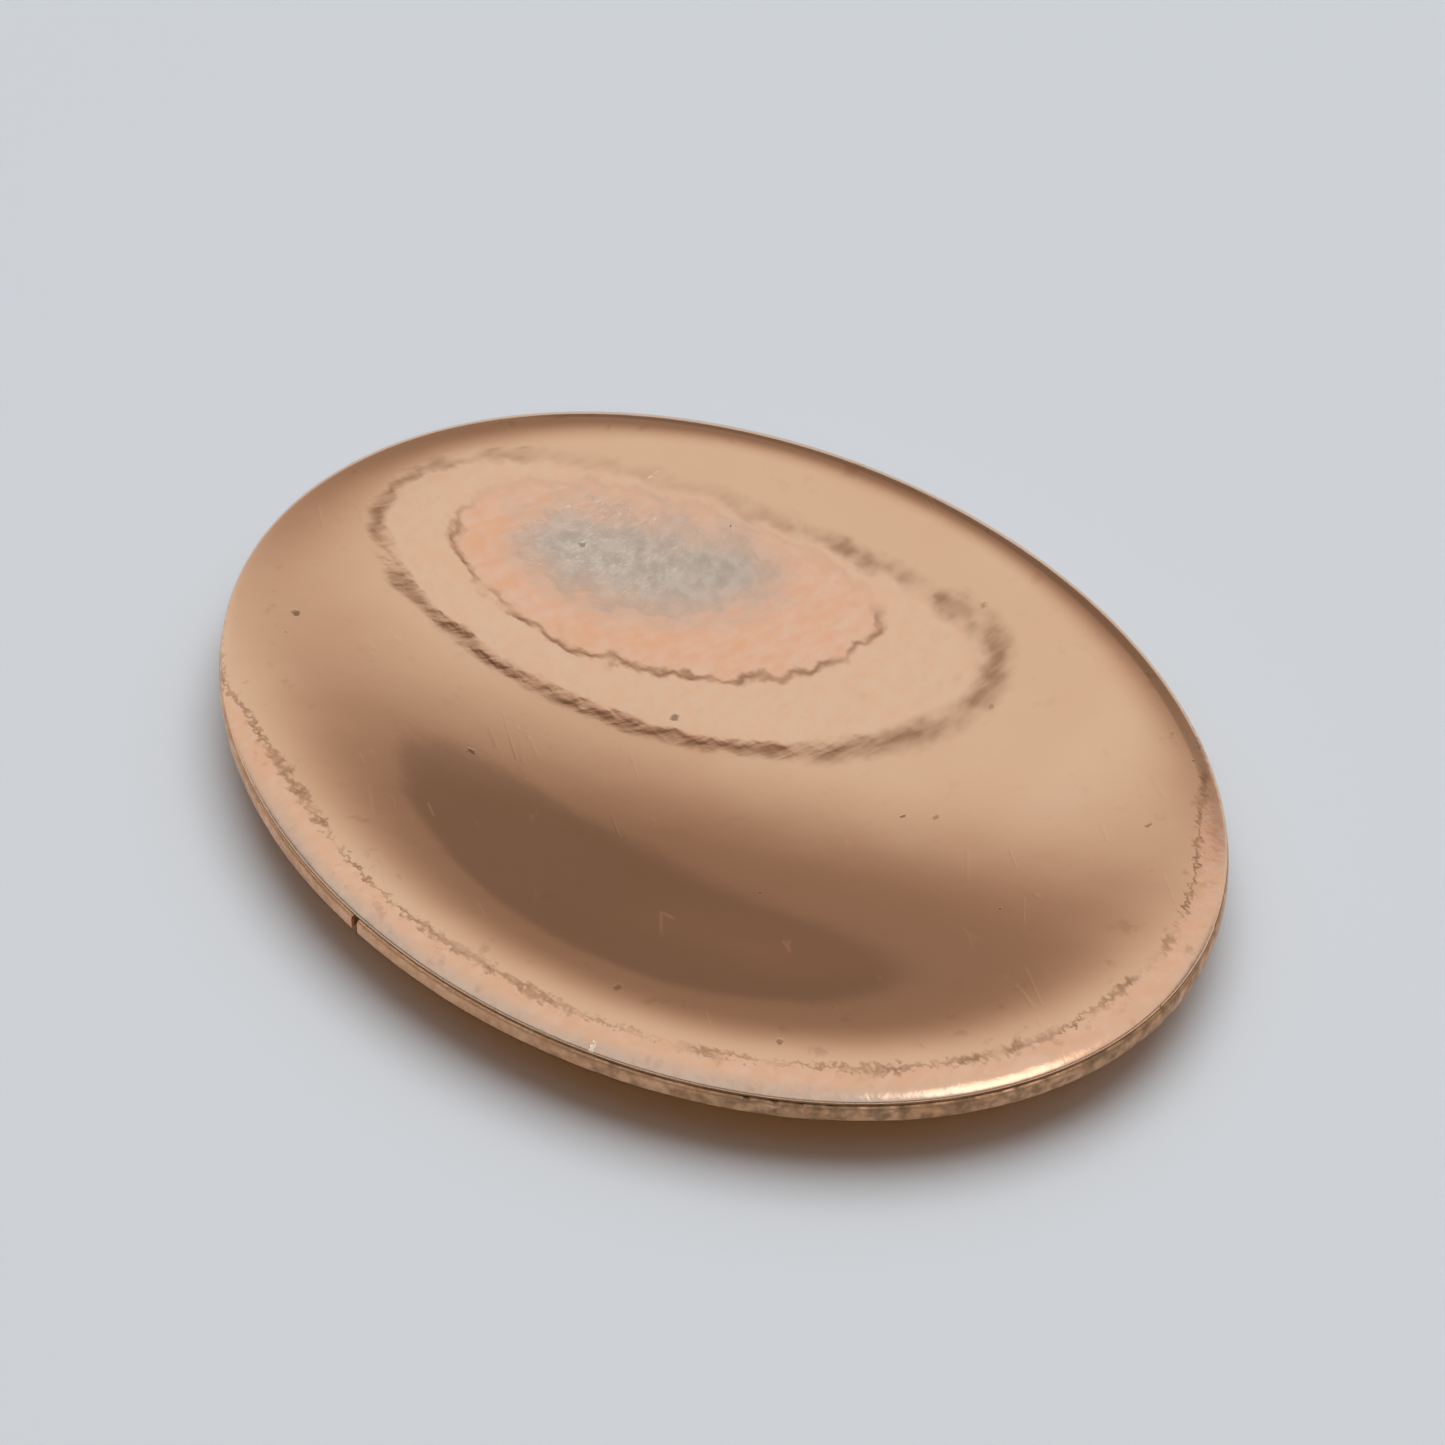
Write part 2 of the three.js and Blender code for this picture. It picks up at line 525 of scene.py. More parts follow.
def new_material(name: str) -> tuple[bpy.types.Material, Shader]:
    """Makes an empty node material and the shader that builds it."""
    material = bpy.data.materials.new(name)
    material.use_nodes = True
    return material, Shader(material.node_tree)


def metal_surface(s: Shader, colour, roughness, height, strength: float, metallic=1.0) -> None:
    """Ends a material in a metallic Principled shader.

    Args:
        s: the material's shader.
        colour: the base colour's socket.
        roughness: the roughness's socket.
        height: the socket of the relief, in millimetres.
        strength: the strength of the relief.
        metallic: the metalness, a value or a socket.
    """
    bump = s.add("ShaderNodeBump", {"Strength": strength, "Distance": MM, "Height": height})
    surface = s.add(
        "ShaderNodeBsdfPrincipled",
        {"Base Color": colour, "Roughness": roughness, "Metallic": metallic, "Normal": bump.outputs[0]},
    )
    s.add("ShaderNodeOutputMaterial", {"Surface": surface.outputs[0]})


@dataclass(frozen=True)
class Mark:
    """A small dark mark on the sheet: its place and size in millimetres, and how dark it is."""

    x: float
    y: float
    size: float
    depth: float = 0.8


def scattered(form: TrayForm, count: int, seed: int) -> tuple[Mark, ...]:
    """Scatters specks of mixed sizes over the bowl.

    Args:
        form: the tray's form.
        count: how many specks.
        seed: the seed of the draws.

    Returns:
        The specks.
    """
    draws = random.Random(seed)
    specks = []
    for _ in range(count):
        share = 0.9 * math.sqrt(draws.random())
        angle = draws.uniform(0, math.tau)
        x = share * math.cos(angle) * form.half_length / MM
        y = share * math.sin(angle) * form.half_width / MM
        specks.append(Mark(x, y, draws.uniform(0.15, 0.45), draws.uniform(0.3, 0.7)))
    return tuple(specks)


def in_a_row(form: TrayForm, start: tuple[float, float], step: tuple[float, float], sizes: tuple[float, ...]):
    """Sets marks in a row near the rim.

    Args:
        form: the tray's form.
        start: the first mark's share of the radius and its angle.
        step: how both change from mark to mark.
        sizes: the marks' sizes in millimetres.

    Returns:
        The marks.
    """
    row = []
    for number, size in enumerate(sizes):
        share, angle = start[0] + number * step[0], start[1] + number * step[1]
        x = share * math.cos(angle) * form.half_length / MM
        row.append(Mark(x, share * math.sin(angle) * form.half_width / MM, size))
    return tuple(row)


def marked(s: Shader, point, marks: tuple[Mark, ...]) -> bpy.types.NodeSocket:
    """Adds a few ragged marks to a material, and returns their mask.

    Args:
        s: the material's shader.
        point: the socket of the point on the object.
        marks: the marks.

    Returns:
        The mask's socket.
    """
    flat = s.add("ShaderNodeVectorMath", {0: point, 1: (1000, 1000, 0)}, operation="MULTIPLY").outputs[0]
    ragged = s.math("MULTIPLY_ADD", s.noise(point, 2400.0, 3.0), 0.8, -0.4)
    mask = None
    for mark in marks:
        away = s.add("ShaderNodeVectorMath", {0: flat, 1: (mark.x, mark.y, 0)}, operation="DISTANCE")
        distance = s.math("ADD", away.outputs["Value"], ragged)
        near = s.ramp(distance, mark.size, mark.size * 0.3, 0.0, mark.depth)
        mask = near if mask is None else s.math("MAXIMUM", mask, near)
    return mask


@dataclass(frozen=True)
class WornFinish:
    """The sheet's polished upper face, with a bronze-toned finish worn through to copper and to grey, painted shade
    along the edges of wear and painted sheen on the brushed strokes.
    """

    bronze: Colour = (0.94, 0.62, 0.41, 1)
    bronze_deep: Colour = (0.90, 0.575, 0.37, 1)
    thin_bronze: Colour = (0.98, 0.665, 0.46, 1)
    copper: Colour = (1.0, 0.53, 0.32, 1)
    # Lighter copper: random cloudy tone, and painted sheen where the brushed strokes mix it in.
    copper_light_and_stroke_sheen: Colour = (1.0, 0.65, 0.47, 1)
    bare: Colour = (0.70, 0.585, 0.49, 1)
    bare_dark: Colour = (0.57, 0.465, 0.385, 1)
    # Painted shade: the dark colour laid along each edge of wear for the shade of its small step.
    line: Colour = (0.42, 0.22, 0.12, 1)
    speck: Colour = (0.12, 0.07, 0.045, 1)
    stain: Colour = (0.62, 0.35, 0.22, 1)
    speck_count: int = 11
    speck_seed: int = 4
    nick: Colour = (1.0, 0.86, 0.72, 1)
    nick_at: tuple[float, float] = (0.995, math.radians(-70))
    nick_step: tuple[float, float] = (-0.008, 0.0)
    nick_sizes: tuple[float, ...] = (0.24, 0.21, 0.18)

    def build(self, groups: EffectGroups, form: TrayForm) -> bpy.types.Material:
        """Builds the material and returns it."""
        material, s = new_material("worn_bronze_finish")
        point = s.place()
        marks = scattered(form, self.speck_count, self.speck_seed)
        clouds = groups.clouds.place_in(s, {"Point": point, "Coarse": 70.0, "Fine": 900.0})
        brushed = {"Point": point, "Angle": math.radians(66), "Scale": 1100.0}
        strokes = groups.strokes.place_in(s, brushed)["Strokes"]
        along = s.add("ShaderNodeSeparateXYZ", {0: point}).outputs["X"]
        frayed = s.ramp(along, -0.003, 0.010, 1.0, 2.0)
        feathered = s.ramp(s.noise(point, 130.0, 1.0), 0.42, 0.6, 0.26, 0.6)
        outer = self.edge(s, groups, point, Field.OUTER, (0.6, 0.9, frayed, 0.14), 800.0)
        inner = self.edge(s, groups, point, Field.INNER, (0.9, 1.2, 0.6, 0.08), 800.0)
        core = self.edge(s, groups, point, Field.CORE, (1.3, 2.8, 0.45, 0.02), 1000.0)
        rim = self.edge(s, groups, point, Field.RIM, (0.75, 0.6, feathered, 0.02), 2400.0)
        rim_bare = s.ramp(s.attribute(Field.RIM), 0.9, 2.1)
        # The painted step shade of the outer and inner lines, and their step relief, fade towards the far side.
        back = s.add("ShaderNodeVectorMath", {0: point, 1: (-0.45, 0.89, 0)}, operation="DOT_PRODUCT").outputs["Value"]
        outer_kept = s.ramp(back, 0.0215, 0.0255, 1.0, 0.3)
        inner_kept = s.ramp(back, 0.0165, 0.0195, 1.0, 0.15)
        colour = s.mix(clouds["Coarse"], self.bronze, self.bronze_deep)
        # Worn copper: cloudy tone, and painted light and dark streaks of the brushing.
        copper = s.mix(s.math("MULTIPLY_ADD", clouds["Fine"], 0.5, s.math("MULTIPLY", strokes, 0.5)),
                       self.copper, self.copper_light_and_stroke_sheen)
        bare = s.mix(clouds["Fine"], self.bare, self.bare_dark)
        thin = s.mix(s.math("MULTIPLY", clouds["Fine"], 0.35), self.thin_bronze, self.copper)
        colour = s.mix(s.math("MULTIPLY", outer["Area"], 0.85), colour, thin)
        colour = s.mix(s.math("MULTIPLY", inner["Area"], 0.9), colour, copper)
        rim_pink = s.math("MULTIPLY", rim["Area"], s.math("MULTIPLY_ADD", clouds["Fine"], 0.45, 0.4))
        colour = s.mix(rim_pink, colour, copper)
        speckle = s.ramp(s.noise(point, 2600.0, 3.0), 0.4, 0.62)
        near = s.add("ShaderNodeVectorMath", {0: point, 1: (0.2, -0.98, 0)}, operation="DOT_PRODUCT")
        rim_bare = s.math("MULTIPLY", rim_bare, s.ramp(near.outputs["Value"], 0.016, 0.026, 0.2, 1.0))
        rim_grey = s.math("MULTIPLY", rim_bare, s.math("MULTIPLY_ADD", speckle, 0.22, 0.5))
        colour = s.mix(s.math("MAXIMUM", core["Area"], rim_grey), colour, bare)
        # Painted shade of the steps along the patch's edges, the grey core and the rim wear, streaked by the brushing.
        lines = s.math("MAXIMUM", s.math("MULTIPLY", outer["Line"], outer_kept), s.math("MULTIPLY", inner["Line"], inner_kept))
        lines = s.math("MAXIMUM", lines, s.math("MULTIPLY", core["Line"], 0.15))
        lines = s.math("MAXIMUM", lines, rim["Line"])
        colour = s.mix(s.math("MULTIPLY", lines, s.math("MULTIPLY_ADD", strokes, 0.4, 0.5)), colour, self.line)
        stains = s.ramp(s.noise(point, 620.0, 5.0), 0.6, 0.74)
        stains = s.math("MULTIPLY", stains, s.ramp(s.attribute(Field.RIM), -6.0, -1.0, 0.1, 0.5))
        colour = s.mix(stains, colour, self.stain)
        specks = groups.pitting.place_in(s, {"Point": point, "Scale": 330.0, "Size": 0.045, "Share": 0.2})["Mask"]
        specks = s.math("MAXIMUM", s.math("MULTIPLY", specks, 0.7), marked(s, point, marks))
        colour = s.mix(specks, colour, self.speck)
        nicks = marked(s, point, in_a_row(form, self.nick_at, self.nick_step, self.nick_sizes))
        colour = s.mix(nicks, colour, self.nick)
        scratches = groups.scratches.place_in(
            s, {"Point": point, "Angle": math.radians(35), "Scale": 260.0, "Share": 0.38}
        )["Mask"]
        worn = s.math("MAXIMUM", inner["Area"], rim["Area"])
        roughness = s.math("MULTIPLY_ADD", worn, 0.08, s.ramp(clouds["Coarse"], 0.0, 1.0, 0.09, 0.13))
        roughness = s.math("MULTIPLY_ADD", core["Area"], 0.12, roughness)
        roughness = s.math("MULTIPLY_ADD", lines, 0.12, roughness)
        roughness = s.math("MULTIPLY_ADD", scratches, 0.1, roughness)
        height = s.math("MULTIPLY_ADD", outer["Height"], outer_kept, s.math("MULTIPLY", inner["Height"], inner_kept))
        height = s.math("ADD", height, s.math("ADD", core["Height"], rim["Height"]))
        rubbed = s.math("MULTIPLY", inner["Area"], s.math("MULTIPLY_ADD", core["Area"], -0.7, 1.0))
        height = s.math("MULTIPLY_ADD", s.math("MULTIPLY", strokes, rubbed), 0.024, height)
        height = s.math("MULTIPLY_ADD", s.math("MULTIPLY", speckle, core["Area"]), 0.008, height)
        height = s.math("MULTIPLY_ADD", s.math("MULTIPLY", strokes, outer["Line"]), 0.05, height)
        height = s.math("MULTIPLY_ADD", s.math("MULTIPLY", clouds["Fine"], worn), 0.012, height)
        height = s.math("MULTIPLY_ADD", s.noise(point, 300.0, 3.0), 0.012, height)
        height = s.math("MULTIPLY_ADD", s.math("ADD", specks, nicks), -0.03, height)
        height = s.math("MULTIPLY_ADD", scratches, -0.005, height)
        metal_surface(s, colour, roughness, height, 1.0)
        return material

    def edge(
        self, s: Shader, groups: EffectGroups, point, name: Field, sizes: tuple, grain: float
    ) -> bpy.types.NodeOutputs:
        """Adds one edge of wear.

        Args:
            s: the material's shader.
            groups: the shared effects.
            point: the socket of the point on the object.
            name: the edge's field.
            sizes: its raggedness, softness, line width and step, in millimetres.
            grain: how many of its rags there are to the metre.

        Returns:
            The worn edge's outputs.
        """
        ragged, soft, width, step = sizes
        inputs = {"Point": point, "Distance": s.attribute(name), "Raggedness": ragged, "Softness": soft}
        return groups.worn_edge.place_in(s, {**inputs, "Line Width": width, "Step": step, "Grain": grain})


@dataclass(frozen=True)
class HammeredFinish:
    """The sheet's underside, left from the hammer and darkened."""

    raised: Colour = (0.86, 0.55, 0.36, 1)
    hollow: Colour = (0.58, 0.34, 0.19, 1)
    speck: Colour = (0.07, 0.045, 0.03, 1)

    def build(self, groups: EffectGroups) -> bpy.types.Material:
        """Builds the material and returns it."""
        material, s = new_material("hammered_copper")
        point = s.place()
        clouds = groups.clouds.place_in(s, {"Point": point, "Coarse": 90.0, "Fine": 500.0})
        colour = s.mix(clouds["Coarse"], self.raised, self.hollow)
        colour = s.mix(s.math("MULTIPLY", clouds["Fine"], 0.35), colour, self.hollow)
        specks = groups.pitting.place_in(s, {"Point": point, "Scale": 260.0, "Size": 0.09, "Share": 0.2})
        colour = s.mix(s.math("MULTIPLY", specks["Mask"], 0.8), colour, self.speck)
        scratches = groups.scratches.place_in(
            s, {"Point": point, "Angle": math.radians(-20), "Scale": 300.0, "Share": 0.5}
        )
        roughness = s.math("ADD", s.ramp(clouds["Fine"], 0.0, 1.0, 0.24, 0.4), s.math("MULTIPLY", specks["Mask"], 0.3))
        height = s.math("MULTIPLY", s.math("ADD", specks["Mask"], s.math("MULTIPLY", scratches["Mask"], 0.15)), -0.02)
        metal_surface(s, colour, roughness, height, 1.0)
        return material


@dataclass(frozen=True)
class WireFinish:
    """The rim wire: satin copper, mottled, with black pits, and dirtiest towards one end of the tray."""

    bright: Colour = (0.84, 0.49, 0.29, 1)
    stained: Colour = (0.62, 0.33, 0.17, 1)
    grime: Colour = (0.24, 0.145, 0.08, 1)
    black: Colour = (0.03, 0.02, 0.015, 1)
    pits_at: tuple[float, float] = (0.99, math.radians(-53))
    pits_step: tuple[float, float] = (0.0, math.radians(3))
    pit_sizes: tuple[float, ...] = (0.45, 0.65, 0.4, 0.3)

    def build(self, groups: EffectGroups, form: TrayForm) -> bpy.types.Material:
        """Builds the material and returns it."""
        material, s = new_material("rim_wire_copper")
        point = s.place()
        clouds = groups.clouds.place_in(s, {"Point": point, "Coarse": 260.0, "Fine": 1500.0})
        stains = s.math("MULTIPLY_ADD", clouds["Coarse"], 0.6, s.math("MULTIPLY", clouds["Fine"], 0.35))
        colour = s.mix(stains, self.bright, self.stained)
        where = s.add("ShaderNodeVectorMath", {0: point, 1: (0.8, -0.6, 0)}, operation="DOT_PRODUCT")
        dirty_end = s.ramp(where.outputs["Value"], 0.012, 0.036)
        patches = s.ramp(s.noise(point, 1100.0, 6.0), 0.34, 0.7, 0.3, 1.0)
        grime = s.math("MULTIPLY", patches, dirty_end)
        colour = s.mix(s.math("MULTIPLY", grime, 0.85), colour, self.grime)
        pits = groups.pitting.place_in(s, {"Point": point, "Scale": 420.0, "Size": 0.2, "Share": 0.08})["Mask"]
        pits = s.math("MULTIPLY", pits, s.math("MULTIPLY_ADD", dirty_end, 0.6, 0.4))
        high = s.ramp(s.add("ShaderNodeSeparateXYZ", {0: point}).outputs["Z"], 0.0053, 0.0057)
        row = in_a_row(form, self.pits_at, self.pits_step, self.pit_sizes)
        pits = s.math("MAXIMUM", pits, s.math("MULTIPLY", marked(s, point, row), high))
        colour = s.mix(pits, colour, self.black)
        roughness = s.math("MULTIPLY_ADD", grime, 0.2, s.ramp(clouds["Fine"], 0.0, 1.0, 0.26, 0.42))
        height = s.math("MULTIPLY_ADD", clouds["Fine"], 0.02, s.math("MULTIPLY", pits, -0.05))
        height = s.math("MULTIPLY_ADD", grime, 0.02, height)
        metal_surface(s, colour, roughness, height, 1.0)
        return material


@dataclass(frozen=True)
class SolderFinish:
    """Old hard solder: dull, dark brown, lighter where it is rubbed."""

    dark: Colour = (0.20, 0.10, 0.04, 1)
    rubbed: Colour = (0.46, 0.26, 0.12, 1)

    def build(self, groups: EffectGroups) -> bpy.types.Material:
        """Builds the material and returns it."""
        material, s = new_material("tarnished_solder")
        point = s.place()
        clouds = groups.clouds.place_in(s, {"Point": point, "Coarse": 240.0, "Fine": 1300.0})
        colour = s.mix(s.math("MULTIPLY", clouds["Coarse"], clouds["Fine"]), self.dark, self.rubbed)
        roughness = s.ramp(clouds["Fine"], 0.0, 1.0, 0.45, 0.7)
        height = s.math("MULTIPLY", clouds["Fine"], 0.03)
        metal_surface(s, colour, roughness, height, 1.0, metallic=0.7)
        return material


# ---------------------------------------------------------------------------------------------------------
# Pieces
# ---------------------------------------------------------------------------------------------------------


@dataclass
class DishSheet:
    """The raised sheet: planished and worn above, hammered below, with a burnished edge."""

    form: TrayForm
    wear: WearMap
    columns: int = 512
    core_share: float = 0.62
    rings: int = 40
    edge_radius: float = 0.17 * MM
    roll_width: float = 0.023
    roll_drop: float = 0.12 * MM
    dents: int = 330
    dent_depth: float = 0.045 * MM

    def build(self) -> bpy.types.Object:
        """Builds the sheet and returns it."""
        bpy.ops.mesh.primitive_circle_add(vertices=self.columns, radius=1.0, fill_type="NOTHING")
        obj = bpy.context.object
        obj.name = "dish_sheet_fine"
        edit(obj)
        shares = np.linspace(1.0, self.core_share, self.rings + 1)
        for outside, inside in zip(shares, shares[1:]):
            bpy.ops.mesh.extrude_region_move()
            bpy.ops.transform.resize(value=(inside / outside,) * 2 + (1,), center_override=(0, 0, 0))
        bpy.ops.mesh.fill_grid(span=self.columns // 4)
        bpy.ops.mesh.select_all(action="SELECT")
        bpy.ops.mesh.extrude_region_move(TRANSFORM_OT_translate={"value": (0, 0, -self.form.sheet)})
        bpy.ops.mesh.select_all(action="SELECT")
        bpy.ops.mesh.normals_make_consistent(inside=False)
        done()
        self.raise_sheet(obj)
        self.burnish_edge(obj)
        return obj

    def raise_sheet(self, obj: bpy.types.Object) -> None:
        """Raises the flat double disc into the dish, and records the wear on it."""
        disc = coordinates(obj)
        above = disc[:, 2] > -self.form.sheet / 2
        rho, x, y = self.form.place(disc[:, 0], disc[:, 1])
        x_mm, y_mm = x / MM, y / MM
        radius = self.form.mean_radius / MM
        fields = {
            Field.OUTER: self.wear.outer.depth(x_mm, y_mm, radius) + 0.35 * smooth_noise(x_mm, y_mm, 2.6, 3.0),
            Field.INNER: self.wear.inner.depth(x_mm, y_mm, radius) + 0.5 * smooth_noise(x_mm, y_mm, 2.2, 7.0),
            Field.CORE: self.wear.core.depth(x_mm, y_mm, radius) + 0.8 * smooth_noise(x_mm, y_mm, 3.0, 11.0),
            Field.RIM: self.wear.rim_depth(rho, np.arctan2(disc[:, 1], disc[:, 0]), radius)
            + 0.3 * smooth_noise(x_mm, y_mm, 7.0, 15.0),
        }
        for name, values in fields.items():
            attribute = obj.data.attributes.new(name.value, "FLOAT", "POINT")
            attribute.data.foreach_set("value", np.where(above, values, -10.0))
        upper = self.form.top(rho) + self.relief(x_mm, y_mm, rho, fields) * MM
        lower = self.form.under(rho) + self.hammering(x, y, rho)
        set_coordinates(obj, np.stack([x, y, np.where(above, upper, lower)], axis=1))

    def relief(self, x: np.ndarray, y: np.ndarray, rho: np.ndarray, fields: dict) -> np.ndarray:
        """The upper face's fine relief.

        Args:
            x: the points' x in millimetres.
            y: the points' y in millimetres.
            rho: the points' shares of the radius.
            fields: the fields of wear.

        Returns:
            Heights in millimetres to add to the form.
        """
        waves = 0.03 * smooth_noise(x, y, 8.0, 21.0) + 0.008 * smooth_noise(x, y, 3.2, 25.0)
        outer, inner, core = fields[Field.OUTER], fields[Field.INNER], fields[Field.CORE]
        steps = -0.03 * (1 + np.tanh(outer / 0.7)) / 2 - 0.02 * (1 + np.tanh(inner / 0.6)) / 2
        grooves = -0.012 * np.exp(-((outer / 0.7) ** 2)) - 0.01 * np.exp(-((inner / 0.6) ** 2))
        rubbed = np.clip(inner / 2, 0, 1) * 0.012 * smooth_noise(x, y, 1.8, 31.0)
        pitted = np.clip(core / 2, 0, 1) * 0.008 * smooth_noise(x, y, 1.0, 35.0)
        settled = np.clip((1 - rho) / 0.05, 0, 1)
        rolled = np.clip((rho - 1 + self.roll_width) / self.roll_width, 0, 1) ** 3 * self.roll_drop / MM
        return (waves + steps + grooves + rubbed + pitted) * settled - rolled

    def hammering(self, x: np.ndarray, y: np.ndarray, rho: np.ndarray) -> np.ndarray:
        """The underside's hammer marks.

        Args:
            x: the points' x.
            y: the points' y.
            rho: the points' shares of the radius.

        Returns:
            How far each point is driven in.
        """
        rng = np.random.default_rng(5)
        golden = math.pi * (3 - math.sqrt(5))
        count = np.arange(self.dents)
        reach = np.sqrt((count + 0.5) / self.dents) * 0.97
        turn = count * golden + rng.normal(0, 0.08, self.dents)
        _, dent_x, dent_y = self.form.place(reach * np.cos(turn), reach * np.sin(turn))
        spacing = math.sqrt(math.pi * self.form.half_length * self.form.half_width / self.dents)
        depth = rng.uniform(0.6, 1.0, self.dents)
        driven = np.zeros(x.shape)
        for at_x, at_y, share in zip(dent_x, dent_y, depth):
            near = ((x - at_x) ** 2 + (y - at_y) ** 2) / (0.75 * spacing) ** 2
            driven = np.maximum(driven, share * (1 - near))
        kept = np.clip((rho - self.form.seat) / 0.05, 0, 1) * np.clip((0.93 - rho) / 0.03, 0, 1)
        return np.clip(driven, 0, None) * self.dent_depth * kept

    def burnish_edge(self, obj: bpy.types.Object) -> None:
        """Rounds the sheet's upper and lower edges."""
        points = coordinates(obj)
        ends = np.empty(len(obj.data.edges) * 2, dtype=np.int64)
        obj.data.edges.foreach_get("vertices", ends)
        start, end = points[ends[0::2]], points[ends[1::2]]
        middle = (start + end) / 2
        share = np.hypot(middle[:, 0] / self.form.half_length, middle[:, 1] / self.form.half_width)
        along = np.abs(start[:, 2] - end[:, 2]) < self.form.sheet / 2
        at_edge = (share > 1 - 1e-4) & along
        select_where(obj, "EDGE", at_edge)
        bpy.ops.object.mode_set(mode="EDIT")
        bpy.ops.mesh.bevel(offset=self.edge_radius, segments=4, affect="EDGES")
        done()

    def dress(self, obj: bpy.types.Object, groups: EffectGroups, tarnish_and_edge_shade: bpy.types.Material) -> None:
        """Gives the upper face the worn finish, the underside the hammered one, and the sheet's outer edge the
        solder's dark finish as painted shade along the joint with the wire.

        Args:
            obj: the sheet.
            groups: the shared effects.
            tarnish_and_edge_shade: the solder's material, also laid on the sheet's outer edge as painted shade.
        """
        for material in (WornFinish().build(groups, self.form), HammeredFinish().build(groups), tarnish_and_edge_shade):
            obj.data.materials.append(material)
        count = len(obj.data.polygons)
        normals, centres = np.empty(count * 3), np.empty(count * 3)
        obj.data.polygons.foreach_get("normal", normals)
        obj.data.polygons.foreach_get("center", centres)
        share = np.hypot(centres[0::3] / self.form.half_length, centres[1::3] / self.form.half_width)
        under = normals[2::3] < -0.3
        # Painted shade: the sheet's outer edge above the solder takes the solder's dark finish, widening the dark line
        # of the joint.
        shaded_edge = (share > 0.994) & (normals[2::3] < 0.35)
        obj.data.polygons.foreach_set("material_index", np.where(shaded_edge, 2, under.astype(np.int32)))
        finish_piece(obj, "dish_sheet", crease=50.0)


@dataclass
class RimWire:
    """The flat wire under the lip, bent into a ring with its two ends meeting at the joint."""

    form: TrayForm
    steps: int = 720
    corner: float = 0.22 * MM
    lower_waver: float = 0.07 * MM

    def build(self) -> bpy.types.Object:
        """Builds the wire and returns it."""
        form = self.form
        radius = form.mean_radius
        bpy.ops.mesh.primitive_plane_add(size=1.0, rotation=(math.pi / 2, 0, 0))
        obj = bpy.context.object
        obj.name = "rim_wire_fine"
        width = (form.wire_outer - form.wire_inner) * radius
        obj.scale = (width, form.wire_height, 1)
        obj.location = ((form.wire_outer + form.wire_inner) / 2 * radius, 0, -form.wire_height / 2)
        settle(obj)
        edit(obj)
        bpy.ops.mesh.bevel(offset=self.corner, segments=4, affect="VERTICES")
        bpy.ops.mesh.select_all(action="SELECT")
        first = form.joint_at + form.joint_gap / 2
        bpy.ops.transform.rotate(value=-first, orient_axis="Z", center_override=(0, 0, 0))
        bpy.ops.mesh.spin(
            steps=self.steps, angle=math.tau - form.joint_gap, center=(0, 0, 0), axis=(0, 0, 1)
        )
        bpy.ops.mesh.select_all(action="SELECT")
        bpy.ops.mesh.normals_make_consistent(inside=False)
        done()
        self.fit_under_lip(obj)
        return obj

    def fit_under_lip(self, obj: bpy.types.Object) -> None:
        """Carries the round ring onto the oval and up under the lip, with a wavering lower edge."""
        form = self.form
        ring = coordinates(obj)
        rho, x, y = form.place(ring[:, 0] / form.mean_radius, ring[:, 1] / form.mean_radius)
        angle = np.degrees(np.arctan2(ring[:, 1], ring[:, 0]))
        waver = smooth_noise(angle, np.zeros_like(angle), 9.0, 41.0) + 0.6 * smooth_noise(angle, angle, 2.5, 43.0)
        low = np.clip(-ring[:, 2] / form.wire_height, 0, 1)
        height = form.under(rho) - form.solder + ring[:, 2] + self.lower_waver * waver * low
        set_coordinates(obj, np.stack([x, y, height], axis=1))

    def dress(self, obj: bpy.types.Object, groups: EffectGroups) -> None:
        """Gives the wire its finish."""
        obj.data.materials.append(WireFinish().build(groups, self.form))
        finish_piece(obj, "rim_wire")


@dataclass
class RimSolder:
    """The solder between the sheet and the wire, set back a little and uneven along its edge."""

    form: TrayForm
    steps: int = 720
    waver: float = 0.05 * MM

    def build(self) -> bpy.types.Object:
        """Builds the solder's ring and returns it."""
        form = self.form
        radius = form.mean_radius
        bpy.ops.mesh.primitive_plane_add(size=1.0, rotation=(math.pi / 2, 0, 0))
        obj = bpy.context.object
        obj.name = "rim_solder_fine"
        width = (form.solder_outer - form.wire_inner) * radius
        obj.scale = (width, form.solder, 1)
        obj.location = ((form.solder_outer + form.wire_inner) / 2 * radius, 0, -form.solder / 2)
        settle(obj)
        edit(obj)
        bpy.ops.mesh.subdivide(number_cuts=2)
        bpy.ops.mesh.select_all(action="SELECT")
        bpy.ops.mesh.spin(steps=self.steps, angle=math.tau, center=(0, 0, 0), axis=(0, 0, 1))
        bpy.ops.mesh.select_all(action="SELECT")
        bpy.ops.mesh.remove_doubles(threshold=1e-6)
        bpy.ops.mesh.delete_loose()
        bpy.ops.mesh.select_all(action="SELECT")
        bpy.ops.mesh.normals_make_consistent(inside=False)
        done()
        self.fill_seam(obj)
        return obj

    def fill_seam(self, obj: bpy.types.Object) -> None:
        """Carries the ring onto the oval and up under the lip, with an uneven outer edge."""
        form = self.form
        ring = coordinates(obj)
        unit = ring[:, :2] / form.mean_radius
        angle = np.degrees(np.arctan2(unit[:, 1], unit[:, 0]))
        outer = (np.hypot(unit[:, 0], unit[:, 1]) > form.solder_outer - 1e-4).astype(float)
        shift = self.waver * outer * smooth_noise(np.cos(np.radians(angle)) * 90, np.sin(np.radians(angle)) * 90, 4.0, 51.0)
        unit = unit * (1 + shift / form.mean_radius)[:, None]
        rho, x, y = form.place(unit[:, 0], unit[:, 1])
        set_coordinates(obj, np.stack([x, y, form.under(rho) + ring[:, 2]], axis=1))

    def dress(self, obj: bpy.types.Object, tarnish_and_edge_shade: bpy.types.Material) -> None:
        """Gives the solder its finish."""
        obj.data.materials.append(tarnish_and_edge_shade)
        finish_piece(obj, "rim_solder")


